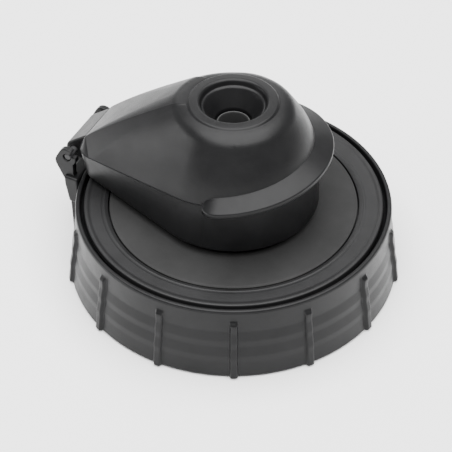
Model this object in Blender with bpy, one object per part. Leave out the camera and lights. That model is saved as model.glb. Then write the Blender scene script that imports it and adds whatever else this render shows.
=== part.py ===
"""Wide-mouth screw cap with a hinged pouring cover.

Units are metres and +Z is up. The origin is on the collar's axis, at the height of its lower edge.
The hinge is on the -X side and the cover's free end points along +X.
The collar carries the hinge; a deck plate turns freely inside it and seals on the bottle's neck;
the cover closes on the deck's spigot and has the pouring outlet in its nozzle.
"""
import math

import bmesh
import bpy
from mathutils import Matrix, Vector

MM = 0.001
GAP = 0.3 * MM                      # clearance between neighbouring pieces

# Screw collar
COLLAR_RADIUS = 35.0 * MM
COLLAR_HEIGHT = 16.2 * MM
RIM_RADIUS = 32.9 * MM              # outside of the wall just under the rim
RIM_OPENING = 31.9 * MM             # radius of the opening that shows the deck
RETAINING_LIP = 30.7 * MM           # radius of the lip that holds the deck's flange down
LIP_UNDERSIDE = 13.3 * MM
LIP_TOP = 14.0 * MM
THREAD_ROOT = 31.7 * MM
THREAD_DEPTH = 1.0 * MM
THREAD_PITCH = 5.0 * MM
THREAD_START = 2.6 * MM
THREAD_TURNS = 1.25
THREAD_STEPS = 48                   # per turn
WALL_BANDS = 3                      # flared bands below the wall's upright top
BAND_TOP = 11.0 * MM
BAND_FLARE = 0.6                    # share of a band's height that is flared; the rest is nearly upright
BAND_UPRIGHT = 0.1 * MM             # how far the wall grows over a band's upright part
TOP_FLARE = 0.3 * MM                # how far the wall grows from the rim down to the first band
RIB_COUNT = 14
RIB_WIDTH = 1.6 * MM
RIB_RISE = 0.7 * MM                 # how far a rib stands out of the wall
RIB_TOP = 14.0 * MM

# Hinge
HINGE_X = -34.75 * MM
HINGE_Z = 20.8 * MM
PIN_RADIUS = 0.8 * MM
EAR_RADIUS = 2.1 * MM
EAR_HEEL = (-35.7 * MM, 19.1 * MM)  # centre of the lobe's lower half, in (x, z)
EAR_INNER_Y = 7.0 * MM
EAR_THICKNESS = 1.4 * MM
EAR_BACK_X = -34.9 * MM             # outer edge of the ear's stem, down the wall
EAR_STEM_TOP = 12.3 * MM
EAR_FOOT_X = -33.4 * MM             # inner edge of the ear, where it leaves its boss
BOSS_HALF_WIDTH = 9.2 * MM          # block that widens the rim under the ears
BOSS_BACK_X = -35.6 * MM
BOSS_TAPER = 5.0 * MM               # height over which the block runs back into the wall
EAR_ROOT = 0.5 * MM                 # how far an ear is buried in the wall
WEB_FOOT = (-35.2 * MM, 13.0 * MM)  # back of the web between the ears, from its foot up, in (x, z)
WEB_HEEL = (-36.2 * MM, 15.2 * MM)
WEB_TOP = (-36.5 * MM, 15.9 * MM)
KNUCKLE_RADIUS = 2.0 * MM
KNUCKLE_HALF_WIDTH = 5.2 * MM

# Deck, pad and gasket
DECK_RADIUS = 31.1 * MM             # visible outer edge, which overhangs the collar's lip
DECK_NECK_RADIUS = 30.3 * MM        # through the lip
DECK_OVERHANG = 14.8 * MM           # underside of the overhanging edge
DECK_TOP = 15.9 * MM
DECK_UNDERSIDE = 11.8 * MM
FLANGE_RADIUS = 31.3 * MM
PAD_OUTER = 25.8 * MM
PAD_INNER = 15.9 * MM
PAD_TOP = 15.7 * MM
PAD_THICKNESS = 1.0 * MM
SPIGOT_BORE = 8.0 * MM
SPIGOT_RADIUS = 10.0 * MM
SPIGOT_TOP = 20.7 * MM
CATCH_RADIUS = 15.2 * MM            # outside of the low wall that the cover's skirt closes over
CATCH_THICKNESS = 1.0 * MM
CATCH_TOP = 19.4 * MM
GASKET_INNER = 26.6 * MM
GASKET_OUTER = 30.5 * MM
GASKET_THICKNESS = 1.5 * MM
GUIDE_DEPTH = 2.3 * MM              # wall inside the gasket, hanging under the deck
GUIDE_THICKNESS = 1.5 * MM

# Vent valve, through the deck under the cover's tail
VENT_X = -20.0 * MM
VENT_STEM_RADIUS = 0.9 * MM
VENT_FLAP_RADIUS = 3.2 * MM
VENT_HOLE_RADIUS = 0.5 * MM
VENT_HOLE_CIRCLE = 2.1 * MM
VENT_HOLE_COUNT = 4
PAD_VENT_OPENING = 3.4 * MM

# Pouring cover
SKIRT_BOTTOM = 17.6 * MM
SKIRT_RADIUS = 17.75 * MM           # round end, at the skirt's lower edge
SKIRT_CORNER = (-27.1 * MM, 4.4 * MM, 4.75 * MM)   # x, y and radius of the tail's corner, lower edge
CREASE_RADIUS = 16.8 * MM           # round end, where the skirt meets the dome
CREASE_CORNER = (-27.1 * MM, 3.7 * MM, 5.9 * MM)
WALL = 1.5 * MM
CREASE_HEIGHT = 28.3 * MM           # crease's height on the collar's axis
CREASE_SLOPE = 0.155                # rise of the crease towards the free end
DOME_END_X = -31.6 * MM             # top edge of the dome at the hinge end
DOME_END_Y = 5.5 * MM
DOME_END_Z = 25.6 * MM
DOME_BULGE = 1.7 * MM               # how far the dome stands out of a straight cone
TAIL_BULGE = 1.15 * MM              # the same, over the tail
SHOULDER = 3.2 * MM                 # distance from the nozzle's edge over which the bulge grows
STRIP_ANGLE = math.radians(173.4)   # where the dome's two ridges meet the nozzle's edge
TAIL_ANGLE = math.radians(150.0)    # point on the nozzle's edge that faces the tail's corner
NOZZLE_RADIUS = 9.13 * MM
NOZZLE_TOP = 41.8 * MM
LIP_RADIUS = 20.2 * MM
LIP_HEIGHT = 28.6 * MM              # height of the lip's outer edge on the collar's axis
LIP_SLOPE = 0.16
LIP_ROOT_HEIGHT = 29.5 * MM         # height of the dome's foot on the lip, on the collar's axis
LIP_ROOT_SLOPE = 0.185
LIP_THICKNESS = 1.2 * MM
LIP_HALF_ANGLE = math.radians(85.0)
LIP_END_ANGLE = math.radians(11.5)  # arc over which the lip rounds off at each end

# Outlet
MOUTH_RADIUS = 6.7 * MM
OUTLET_SEAT = 3.75 * MM             # bore that holds the sleeve
SLEEVE_BORE = 3.0 * MM
SLEEVE_TOP = 36.6 * MM
SLEEVE_FLANGE = 4.7 * MM
SLEEVE_FLANGE_TOP = 34.2 * MM
SLEEVE_FLANGE_THICKNESS = 1.3 * MM
SEAL_HEIGHT = 1.5 * MM
HOLDER_DROP = 1.3 * MM              # how far the seal's holder reaches below the seal's seat

# Facets
ROUND_SIDES = 56                    # a multiple of the rib count
SMALL_SIDES = 32
ARC_STEPS = 16                      # along half of the cover's round end
SIDE_STEPS = 3
CORNER_STEPS = 5
SHOULDER_SHARES = (0.12, 0.35, 0.65, 1.0)
DOME_SHARES = (0.3, 0.6, 0.85)      # below the shoulder, along the rest of the way to the crease
SMOOTH_ANGLE = math.radians(35.0)
WELD_DISTANCE = 0.002 * MM

BLACK_PLASTIC = ("black_plastic", (0.045, 0.045, 0.047, 1.0), 0.42, 0.0)
DECK_PLASTIC = ("deck_plastic", (0.05, 0.05, 0.052, 1.0), 0.5, 0.0)
PAD_RUBBER = ("pad_rubber", (0.03, 0.03, 0.031, 1.0), 0.7, 0.0)
SLEEVE_SILICONE = ("sleeve_silicone", (0.03, 0.03, 0.031, 1.0), 0.5, 0.0)
SEAL_SILICONE = ("seal_silicone", (0.16, 0.16, 0.165, 1.0), 0.6, 0.0)
PIN_PLASTIC = ("pin_plastic", (0.1, 0.1, 0.105, 1.0), 0.35, 0.0)


def clear_scene():
    for item in list(bpy.data.objects):
        bpy.data.objects.remove(item, do_unlink=True)


def material(spec):
    name, colour, roughness, metallic = spec
    found = bpy.data.materials.get(name)
    if found:
        return found
    made = bpy.data.materials.new(name)
    made.use_nodes = True
    shader = made.node_tree.nodes["Principled BSDF"]
    shader.inputs["Base Color"].default_value = colour
    shader.inputs["Roughness"].default_value = roughness
    shader.inputs["Metallic"].default_value = metallic
    return made


def link(name, mesh, spec):
    """Put a mesh in the scene as a smooth-shaded object with its material."""
    mesh.materials.clear()
    mesh.materials.append(material(spec))
    mesh.shade_smooth()
    mesh.set_sharp_from_angle(angle=SMOOTH_ANGLE)
    item = bpy.data.objects.new(name, mesh)
    bpy.context.collection.objects.link(item)
    return item


def closed_surface(name, columns, spec, ring=True):
    """Join columns of points into one closed surface; points that coincide are shared.

    Each column is a closed loop of points. With ring=True the last column joins the first.
    """
    mesh_points = []
    index_of = {}

    def index(point):
        key = tuple(round(value * 1e7) for value in point)
        if key not in index_of:
            index_of[key] = len(mesh_points)
            mesh_points.append(point)
        return index_of[key]

    faces = []
    spans = len(columns) if ring else len(columns) - 1
    for column in range(spans):
        here = columns[column]
        there = columns[(column + 1) % len(columns)]
        for row in range(len(here)):
            below = (row + 1) % len(here)
            corners = [index(here[row]), index(here[below]), index(there[below]), index(there[row])]
            face = [corner for place, corner in enumerate(corners) if corner != corners[place - 1]]
            if len(set(face)) == len(face) and len(face) > 2:
                faces.append(face)
    if not ring:
        faces.append([index(point) for point in columns[0]])
        faces.append([index(point) for point in reversed(columns[-1])])
    mesh = bpy.data.meshes.new(name)
    mesh.from_pydata(mesh_points, [], faces)
    tidy_normals(mesh)
    return link(name, mesh, spec)


def tidy_normals(mesh):
    shape = bmesh.new()
    shape.from_mesh(mesh)
    bmesh.ops.recalc_face_normals(shape, faces=shape.faces)
    shape.to_mesh(mesh)
    shape.free()


def weld(mesh):
    """Close the hairline seams that a Boolean can leave."""
    shape = bmesh.new()
    shape.from_mesh(mesh)
    bmesh.ops.remove_doubles(shape, verts=shape.verts, dist=WELD_DISTANCE)
    bmesh.ops.dissolve_degenerate(shape, edges=shape.edges, dist=WELD_DISTANCE)
    shape.to_mesh(mesh)
    shape.free()


def polar(radius, angle, height):
    return (radius * math.cos(angle), radius * math.sin(angle), height)


def turned(name, profile, spec, sides=ROUND_SIDES, centre=(0.0, 0.0)):
    """Revolve a closed profile of (radius, height) pairs about a vertical axis."""
    columns = []
    for side in range(sides):
        angle = 2 * math.pi * side / sides
        column = [polar(radius, angle, height) for radius, height in profile]
        columns.append([(x + centre[0], y + centre[1], z) for x, y, z in column])
    return closed_surface(name, columns, spec)


def combine(target, tool, operation):
    """Apply a Boolean of tool to target and remove the tool."""
    step = target.modifiers.new(operation.lower(), "BOOLEAN")
    step.operation = operation
    step.solver = "EXACT"
    step.object = tool
    bpy.context.view_layer.update()
    evaluated = target.evaluated_get(bpy.context.evaluated_depsgraph_get())
    result = bpy.data.meshes.new_from_object(evaluated)
    weld(result)
    target.modifiers.clear()
    target.data = result
    bpy.data.objects.remove(tool, do_unlink=True)
    return target


def rod(name, radius, start, end, spec, sides=SMALL_SIDES):
    """A solid cylinder between two points."""
    start = Vector(start)
    end = Vector(end)
    shape = bmesh.new()
    bmesh.ops.create_cone(
        shape, cap_ends=True, segments=sides, radius1=radius, radius2=radius, depth=(end - start).length
    )
    turn = Vector((0, 0, 1)).rotation_difference(end - start).to_matrix().to_4x4()
    bmesh.ops.transform(shape, matrix=Matrix.Translation((start + end) / 2) @ turn, verts=shape.verts)
    mesh = bpy.data.meshes.new(name)
    shape.to_mesh(mesh)
    shape.free()
    return link(name, mesh, spec)


def plate(name, outline, y_low, y_high, spec):
    """Extrude an (x, z) outline along Y."""
    low = [(x, y_low, z) for x, z in outline]
    high = [(x, y_high, z) for x, z in outline]
    return closed_surface(name, [low, high], spec, ring=False)


def wall_points():
    """The wall's outside from the rim to its lower edge, as (radius, height), with a corner at each band."""
    pitch = BAND_TOP / WALL_BANDS
    points = [(RIM_RADIUS, COLLAR_HEIGHT), (RIM_RADIUS + TOP_FLARE, BAND_TOP)]
    growth = (COLLAR_RADIUS - RIM_RADIUS - TOP_FLARE - (WALL_BANDS - 1) * BAND_UPRIGHT) / WALL_BANDS
    for band in range(WALL_BANDS):
        radius, height = points[-1]
        last = band == WALL_BANDS - 1
        flared_end = 0.0 if last else height - pitch * BAND_FLARE
        points.append((radius + growth, flared_end))
        if not last:
            points.append((radius + growth + BAND_UPRIGHT, height - pitch))
    return points


def collar_wall(height):
    """Outside radius of the wall at a height."""
    points = wall_points()
    for (upper_radius, upper), (lower_radius, lower) in zip(points, points[1:]):
        if height >= lower:
            return upper_radius + (lower_radius - upper_radius) * (upper - height) / (upper - lower)
    return points[-1][0]


def collar_body():
    edge = 0.3 * MM
    profile = [
        (THREAD_ROOT + edge, 0.0),
        (THREAD_ROOT, 2 * edge),
        (THREAD_ROOT, LIP_UNDERSIDE),
        (RETAINING_LIP, LIP_UNDERSIDE),
        (RETAINING_LIP, LIP_TOP),
        (RIM_OPENING, LIP_TOP + edge),
        (RIM_OPENING, COLLAR_HEIGHT - edge),
        (RIM_OPENING + edge, COLLAR_HEIGHT),
        (RIM_RADIUS - edge, COLLAR_HEIGHT),
        (RIM_RADIUS, COLLAR_HEIGHT - edge),
    ]
    profile += wall_points()[1:-1]
    profile.append((collar_wall(edge), edge))
    profile.append((collar_wall(0.0) - edge, 0.0))
    return turned("screw_collar", profile, BLACK_PLASTIC)


def ribs():
    """Grip ribs, evenly spaced, with the hinge midway between two of them."""
    inset = 0.6 * MM
    half = RIB_WIDTH / 2
    low = collar_wall(0.0)
    high = collar_wall(RIB_TOP)
    outline = [
        (low - inset, 0.0),
        (low + RIB_RISE, 0.0),
        (high + RIB_RISE, RIB_TOP - RIB_RISE),
        (high + RIB_RISE / 3, RIB_TOP),
        (high - inset, RIB_TOP),
    ]
    section = [(x, -half, z) for x, z in outline] + [(x, half, z) for x, z in outline]
    count = len(outline)
    mesh_points = []
    faces = []
    for number in range(RIB_COUNT):
        first = len(mesh_points)
        turn = Matrix.Rotation(2 * math.pi * (number + 0.5) / RIB_COUNT, 3, "Z")
        mesh_points += [tuple(turn @ Vector(point)) for point in section]
        faces.append([first + place for place in range(count)])
        faces.append([first + count + place for place in reversed(range(count))])
        for place in range(count):
            after = (place + 1) % count
            faces.append([first + place, first + count + place, first + count + after, first + after])
    mesh = bpy.data.meshes.new("ribs")
    mesh.from_pydata(mesh_points, [], faces)
    tidy_normals(mesh)
    return link("ribs", mesh, BLACK_PLASTIC)


def thread():
    """Internal thread: a trapezoid swept along a helix, fading into the wall at both ends."""
    steps = round(THREAD_TURNS * THREAD_STEPS)
    root_half = 1.3 * MM
    crest_half = 0.6 * MM
    buried = THREAD_ROOT + 0.3 * MM
    columns = []
    for step in range(steps + 1):
        angle = 2 * math.pi * THREAD_TURNS * step / steps
        height = THREAD_START + THREAD_PITCH * THREAD_TURNS * step / steps
        ends = min(step, steps - step) / 4
        depth = THREAD_DEPTH * min(1.0, 0.1 + 0.9 * ends)
        crest = THREAD_ROOT - depth
        columns.append([
            polar(buried, angle, height - root_half),
            polar(crest, angle, height - crest_half),
            polar(crest, angle, height + crest_half),
            polar(buried, angle, height + root_half),
        ])
    return closed_surface("thread", columns, BLACK_PLASTIC, ring=False)


def ear_outline():
    """Side view of a hinge ear: a lobe that leans out over a straight stem on the collar's wall."""
    steps = 8
    outline = [(EAR_BACK_X, 0.0), (EAR_BACK_X, EAR_STEM_TOP)]
    for centre, first, last in ((EAR_HEEL, 205.0, 150.0), ((HINGE_X, HINGE_Z), 150.0, 0.0)):
        for step in range(steps + 1):
            angle = math.radians(first + (last - first) * step / steps)
            outline.append((centre[0] + EAR_RADIUS * math.cos(angle), centre[1] + EAR_RADIUS * math.sin(angle)))
    outline.append((EAR_FOOT_X, HINGE_Z - EAR_RADIUS))
    outline.append((EAR_FOOT_X, COLLAR_HEIGHT - 2 * EAR_ROOT))
    outline.append((-THREAD_ROOT - EAR_ROOT, COLLAR_HEIGHT - 4 * EAR_ROOT))
    outline.append((-THREAD_ROOT - EAR_ROOT, 0.0))
    return outline


def boss_outline():
    """Side view of the block that widens the rim under the ears."""
    root = -THREAD_ROOT - GAP
    top = COLLAR_HEIGHT - GAP / 2
    low = RIB_TOP - BOSS_TAPER
    return [(root, low), (EAR_BACK_X, low), (BOSS_BACK_X, RIB_TOP), (BOSS_BACK_X, top), (root, top)]


def web_outline():
    """Side view of the web that joins the two ears under the knuckle."""
    root = -THREAD_ROOT - EAR_ROOT
    return [(root, WEB_FOOT[1]), WEB_FOOT, WEB_HEEL, WEB_TOP, (root, WEB_TOP[1])]


def hinge_bore():
    reach = EAR_INNER_Y + 2 * EAR_THICKNESS
    return rod("pin_bore", PIN_RADIUS + GAP, (HINGE_X, -reach, HINGE_Z), (HINGE_X, reach, HINGE_Z), BLACK_PLASTIC)


def screw_collar():
    body = collar_body()
    combine(body, ribs(), "UNION")
    combine(body, thread(), "UNION")
    combine(body, plate("boss", boss_outline(), -BOSS_HALF_WIDTH, BOSS_HALF_WIDTH, BLACK_PLASTIC), "UNION")
    reach = EAR_INNER_Y + EAR_THICKNESS / 2
    combine(body, plate("web", web_outline(), -reach, reach, BLACK_PLASTIC), "UNION")
    for side in (-1, 1):
        faces = sorted((side * EAR_INNER_Y, side * (EAR_INNER_Y + EAR_THICKNESS)))
        combine(body, plate("ear", ear_outline(), faces[0], faces[1], BLACK_PLASTIC), "UNION")
    return combine(body, hinge_bore(), "DIFFERENCE")


def hinge_pin():
    reach = EAR_INNER_Y + EAR_THICKNESS - 0.2 * MM
    return rod("hinge_pin", PIN_RADIUS, (HINGE_X, -reach, HINGE_Z), (HINGE_X, reach, HINGE_Z), PIN_PLASTIC)


def deck_plate():
    flange_top = LIP_UNDERSIDE - GAP
    recess = PAD_TOP - PAD_THICKNESS - GAP
    edge = 0.25 * MM
    profile = [
        (SPIGOT_BORE, DECK_UNDERSIDE),
        (SPIGOT_BORE, SPIGOT_TOP - edge),
        (SPIGOT_BORE + edge, SPIGOT_TOP),
        (SPIGOT_RADIUS - edge, SPIGOT_TOP),
        (SPIGOT_RADIUS, SPIGOT_TOP - edge),
        (SPIGOT_RADIUS, recess),
        (CATCH_RADIUS - CATCH_THICKNESS, recess),
        (CATCH_RADIUS - CATCH_THICKNESS, CATCH_TOP),
        (CATCH_RADIUS - edge, CATCH_TOP),
        (CATCH_RADIUS + edge, CATCH_TOP - 0.7 * MM),
        (CATCH_RADIUS, CATCH_TOP - 1.2 * MM),
        (CATCH_RADIUS, recess),
        (PAD_OUTER + GAP, recess),
        (PAD_OUTER + GAP, PAD_TOP - 0.1 * MM),
        (PAD_OUTER + 4 * edge, DECK_TOP),
        (DECK_RADIUS - 4 * edge, DECK_TOP),
        (DECK_RADIUS - 3 * edge, DECK_TOP + edge),
        (DECK_RADIUS - edge, DECK_TOP + edge),
        (DECK_RADIUS, DECK_TOP),
        (DECK_RADIUS, DECK_OVERHANG),
        (DECK_NECK_RADIUS, DECK_OVERHANG),
        (DECK_NECK_RADIUS, flange_top),
        (FLANGE_RADIUS, flange_top),
        (FLANGE_RADIUS, DECK_UNDERSIDE - 1.0 * MM),
        (GASKET_OUTER + GAP, DECK_UNDERSIDE - 1.0 * MM),
        (GASKET_OUTER + GAP, DECK_UNDERSIDE),
        (GASKET_INNER - GAP, DECK_UNDERSIDE),
        (GASKET_INNER - GAP, DECK_UNDERSIDE - GUIDE_DEPTH),
        (GASKET_INNER - GUIDE_THICKNESS, DECK_UNDERSIDE - GUIDE_DEPTH),
        (GASKET_INNER - GUIDE_THICKNESS, DECK_UNDERSIDE),
    ]
    body = turned("deck_plate", profile, DECK_PLASTIC)
    top = recess + MM
    low = DECK_UNDERSIDE - MM
    holes = [(VENT_STEM_RADIUS + GAP, VENT_X, 0.0)]
    for number in range(VENT_HOLE_COUNT):
        angle = math.pi * (2 * number + 1) / VENT_HOLE_COUNT
        x = VENT_X + VENT_HOLE_CIRCLE * math.cos(angle)
        holes.append((VENT_HOLE_RADIUS, x, VENT_HOLE_CIRCLE * math.sin(angle)))
    for radius, x, y in holes:
        combine(body, rod("vent_hole", radius, (x, y, low), (x, y, top), DECK_PLASTIC, sides=12), "DIFFERENCE")
    return body


def deck_pad():
    low = PAD_TOP - PAD_THICKNESS
    edge = 0.15 * MM
    profile = [
        (PAD_INNER, low),
        (PAD_INNER, PAD_TOP),
        (PAD_OUTER - edge, PAD_TOP),
        (PAD_OUTER, PAD_TOP - edge),
        (PAD_OUTER, low),
    ]
    body = turned("deck_pad", profile, PAD_RUBBER)
    opening = rod("opening", PAD_VENT_OPENING, (VENT_X, 0, low - MM), (VENT_X, 0, PAD_TOP + MM), PAD_RUBBER)
    return combine(body, opening, "DIFFERENCE")


def neck_gasket():
    top = DECK_UNDERSIDE - GAP
    profile = [
        (GASKET_INNER, top - GASKET_THICKNESS),
        (GASKET_INNER, top),
        (GASKET_OUTER, top),
        (GASKET_OUTER, top - GASKET_THICKNESS),
    ]
    return turned("neck_gasket", profile, SEAL_SILICONE)


def vent_valve():
    """Umbrella valve: a thin flap under the deck, a stem through it and a bulb that holds it."""
    flap_top = DECK_UNDERSIDE - GAP
    deck_floor = PAD_TOP - PAD_THICKNESS - GAP
    bulb = deck_floor + GAP
    profile = [
        (0.0, flap_top - 0.8 * MM),
        (VENT_FLAP_RADIUS, flap_top - 0.4 * MM),
        (VENT_FLAP_RADIUS, flap_top),
        (VENT_STEM_RADIUS, flap_top),
        (VENT_STEM_RADIUS, bulb),
        (VENT_STEM_RADIUS + 0.6 * MM, bulb),
        (VENT_STEM_RADIUS + 0.5 * MM, bulb + 0.6 * MM),
        (VENT_STEM_RADIUS - 0.2 * MM, bulb + 1.3 * MM),
        (0.0, bulb + 1.4 * MM),
    ]
    return turned("vent_valve", profile, SEAL_SILICONE, sides=20, centre=(VENT_X, 0.0))


def outline_columns(big_radius, corner):
    """One side of a teardrop outline, from the free end at +X round to the middle of the hinge end.

    Each entry is (part, x, y, normal angle, bearing): the outline's round end, its straight side, its
    rounded corner and its straight end. The bearing is that of the point on the nozzle it is joined to.
    """
    corner_x, corner_y, corner_radius = corner
    reach = math.hypot(corner_x, corner_y)
    bearing = math.atan2(corner_y, corner_x)
    tangent = bearing - math.acos((big_radius - corner_radius) / reach)
    entries = []
    for angle in arc_angles(tangent):
        entries.append(("arc", big_radius * math.cos(angle), big_radius * math.sin(angle), angle, angle))
    normal = Vector((math.cos(tangent), math.sin(tangent)))
    start = big_radius * normal
    finish = Vector((corner_x, corner_y)) + corner_radius * normal
    for step in range(1, SIDE_STEPS + 1):
        place = start.lerp(finish, step / SIDE_STEPS)
        bearing = tangent + (TAIL_ANGLE - tangent) * step / SIDE_STEPS
        entries.append(("side", place.x, place.y, tangent, bearing))
    entries.append(("fold", finish.x, finish.y, tangent, TAIL_ANGLE))
    for step in range(1, CORNER_STEPS + 1):
        angle = tangent + (math.pi - tangent) * step / CORNER_STEPS
        x = corner_x + corner_radius * math.cos(angle)
        y = corner_y + corner_radius * math.sin(angle)
        bearing = TAIL_ANGLE + (STRIP_ANGLE - TAIL_ANGLE) * step / CORNER_STEPS
        entries.append(("corner", x, y, angle, bearing))
    entries.append(("end", corner_x - corner_radius, 0.0, math.pi, math.pi))
    return entries


def arc_angles(tangent):
    """Angles along the round end, closer together where the lip rounds off."""
    end = LIP_HALF_ANGLE
    fine = [end - LIP_END_ANGLE * share for share in (1.0, 0.6, 0.3, 0.1, 0.0)]
    coarse = [(end - LIP_END_ANGLE) * step / ARC_STEPS for step in range(ARC_STEPS)]
    beyond = [end + math.radians(0.4), (end + tangent) / 2, tangent]
    return coarse + fine + beyond


def lip_reach(part, angle):
    """How far the thumb lip stands out of the crease at this angle, from 0 to 1."""
    if part != "arc" or angle > LIP_HALF_ANGLE + 1e-6:
        return 0.0
    share = min(1.0, 0.04 + (LIP_HALF_ANGLE - angle) / LIP_END_ANGLE)
    return math.sqrt(1 - (1 - share) ** 2)


def crease_height(x):
    return CREASE_HEIGHT + CREASE_SLOPE * x


def dome_rows(top, foot, bearing):
    """Points on the dome between the nozzle's edge and the crease, bowed out of the straight line."""
    length = (foot - top).length
    along = (foot - top).normalized()
    outward = along.cross(Vector((-math.sin(bearing), math.cos(bearing), 0.0))).normalized()
    distances = [SHOULDER * share for share in SHOULDER_SHARES]
    distances += [SHOULDER + (length - SHOULDER) * share for share in DOME_SHARES]
    bulge = DOME_BULGE if bearing < math.pi / 2 else TAIL_BULGE
    rows = []
    for distance in distances:
        growth = 1 - (1 - min(1.0, distance / SHOULDER)) ** 2
        decay = 1 - max(0.0, (distance - SHOULDER) / (length - SHOULDER)) ** 3
        rows.append(tuple(top + along * distance + outward * (bulge * growth * decay)))
    return rows


def cover_column(entries, place):
    """The closed section of the cover in one column, from its bore over the dome to the skirt and back."""
    part, x, y, angle, bearing = entries["crease"][place]
    column = [polar(radius, bearing, height) for radius, height in nozzle_profile()]
    top = Vector(polar(NOZZLE_RADIUS, bearing, NOZZLE_TOP - 0.4 * MM))
    foot = Vector((x, y, crease_height(x) + lip_rise(x) * lip_reach(part, angle)))
    shoulder = foot
    if part in ("fold", "corner"):
        shoulder = Vector((DOME_END_X, DOME_END_Y, DOME_END_Z))
    if part == "end":
        shoulder = Vector((DOME_END_X, 0.0, DOME_END_Z))
    column.append(tuple(top))
    column += dome_rows(top, shoulder, bearing)
    column.append(tuple(shoulder))
    column += lip_section(part, foot, angle)
    column.append((entries["skirt"][place][1], entries["skirt"][place][2], SKIRT_BOTTOM))
    column.append((entries["inner_skirt"][place][1], entries["inner_skirt"][place][2], SKIRT_BOTTOM))
    inner_x, inner_y = entries["inner_crease"][place][1:3]
    column.append((inner_x, inner_y, crease_height(inner_x)))
    column += [polar(radius, bearing, height) for radius, height in pocket_profile()]
    return column


def lip_rise(x):
    """How much higher the dome's foot is where it stands on the lip."""
    return LIP_ROOT_HEIGHT + LIP_ROOT_SLOPE * x - crease_height(x)


def lip_section(part, foot, angle):
    """The crease, or the thumb lip's section where the lip stands out of it."""
    reach = lip_reach(part, angle)
    if reach == 0.0:
        return [tuple(foot)] * 3
    radius = CREASE_RADIUS + (LIP_RADIUS - CREASE_RADIUS) * reach
    x = radius * math.cos(angle)
    y = radius * math.sin(angle)
    height = crease_height(x) + (LIP_HEIGHT + LIP_SLOPE * x - crease_height(x)) * reach
    root = polar(CREASE_RADIUS + GAP, angle, foot.z - LIP_THICKNESS * (1 + reach))
    return [(x, y, height), (x, y, height - LIP_THICKNESS), root]


def seal_seat():
    return SPIGOT_TOP + SEAL_HEIGHT + 2 * GAP


def nozzle_profile():
    """Inside of the cover from the seal's seat up through the outlet to the nozzle's top."""
    return [
        (SPIGOT_BORE + GAP, seal_seat()),
        (SLEEVE_FLANGE + GAP, SLEEVE_FLANGE_TOP - SLEEVE_FLANGE_THICKNESS - GAP),
        (SLEEVE_FLANGE + GAP, SLEEVE_FLANGE_TOP + GAP),
        (OUTLET_SEAT, SLEEVE_FLANGE_TOP + GAP),
        (OUTLET_SEAT, SLEEVE_TOP + GAP),
        (MOUTH_RADIUS - 3 * GAP, NOZZLE_TOP - 3 * GAP),
        (MOUTH_RADIUS - GAP, NOZZLE_TOP - GAP / 2),
        (MOUTH_RADIUS, NOZZLE_TOP),
        (NOZZLE_RADIUS - GAP, NOZZLE_TOP - GAP / 2),
    ]


def pocket_profile():
    """Hollow between the dome and the inner cone, then the seal's seat at the cone's foot."""
    holder = SPIGOT_RADIUS + WALL
    return [
        (NOZZLE_RADIUS + WALL, NOZZLE_TOP - 2 * WALL),
        (NOZZLE_RADIUS - WALL, NOZZLE_TOP - 2.8 * WALL),
        (SLEEVE_FLANGE + WALL, SLEEVE_FLANGE_TOP),
        (holder + WALL, seal_seat() + WALL),
        (holder + WALL, seal_seat() - HOLDER_DROP),
        (holder, seal_seat() - HOLDER_DROP),
        (holder, seal_seat()),
    ]


def mirrored(column):
    return [(x, -y, z) for x, y, z in column]


def inside(corner):
    """The corner one wall thickness further in."""
    return (corner[0], corner[1], corner[2] - WALL)


def cover_shell():
    entries = {
        "crease": outline_columns(CREASE_RADIUS, CREASE_CORNER),
        "skirt": outline_columns(SKIRT_RADIUS, SKIRT_CORNER),
        "inner_skirt": outline_columns(SKIRT_RADIUS - WALL, inside(SKIRT_CORNER)),
        "inner_crease": outline_columns(CREASE_RADIUS - WALL, inside(CREASE_CORNER)),
    }
    half = [cover_column(entries, place) for place in range(len(entries["crease"]))]
    other = [mirrored(column) for column in reversed(half[1:-1])]
    return closed_surface("pour_cover", half + other, BLACK_PLASTIC)


def knuckle():
    """Barrel round the hinge pin; its top runs straight up to the dome's end."""
    run = DOME_END_X - HINGE_X
    rise = DOME_END_Z - HINGE_Z
    steps = 14
    start = math.atan2(rise, run) + math.acos(KNUCKLE_RADIUS / math.hypot(run, rise))
    finish = math.radians(280.0)
    outline = []
    for step in range(steps + 1):
        angle = start + (finish - start) * step / steps
        outline.append((HINGE_X + KNUCKLE_RADIUS * math.cos(angle), HINGE_Z + KNUCKLE_RADIUS * math.sin(angle)))
    outline.append((DOME_END_X, HINGE_Z - KNUCKLE_RADIUS))
    outline.append((DOME_END_X + GAP / 2, DOME_END_Z - GAP / 2))
    return plate("knuckle", outline, -KNUCKLE_HALF_WIDTH, KNUCKLE_HALF_WIDTH, BLACK_PLASTIC)


def pour_cover():
    body = cover_shell()
    combine(body, knuckle(), "UNION")
    return combine(body, hinge_bore(), "DIFFERENCE")


def cover_seal():
    low = SPIGOT_TOP + GAP
    high = low + SEAL_HEIGHT
    inner = SPIGOT_BORE + GAP
    outer = SPIGOT_RADIUS + WALL - GAP
    profile = [(inner, low), (inner, high), (outer, high), (outer, low)]
    return turned("cover_seal", profile, SEAL_SILICONE, sides=48)


def outlet_sleeve():
    """Soft lining of the outlet, pushed in from below and held by its flange."""
    flange_low = SLEEVE_FLANGE_TOP - SLEEVE_FLANGE_THICKNESS
    edge = 0.25 * MM
    profile = [
        (SLEEVE_BORE, flange_low),
        (SLEEVE_BORE, SLEEVE_TOP - edge),
        (SLEEVE_BORE + edge, SLEEVE_TOP),
        (OUTLET_SEAT - GAP, SLEEVE_TOP - edge),
        (OUTLET_SEAT - GAP, SLEEVE_FLANGE_TOP),
        (SLEEVE_FLANGE, SLEEVE_FLANGE_TOP),
        (SLEEVE_FLANGE, flange_low),
    ]
    return turned("outlet_sleeve", profile, SLEEVE_SILICONE, sides=SMALL_SIDES)


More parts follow.
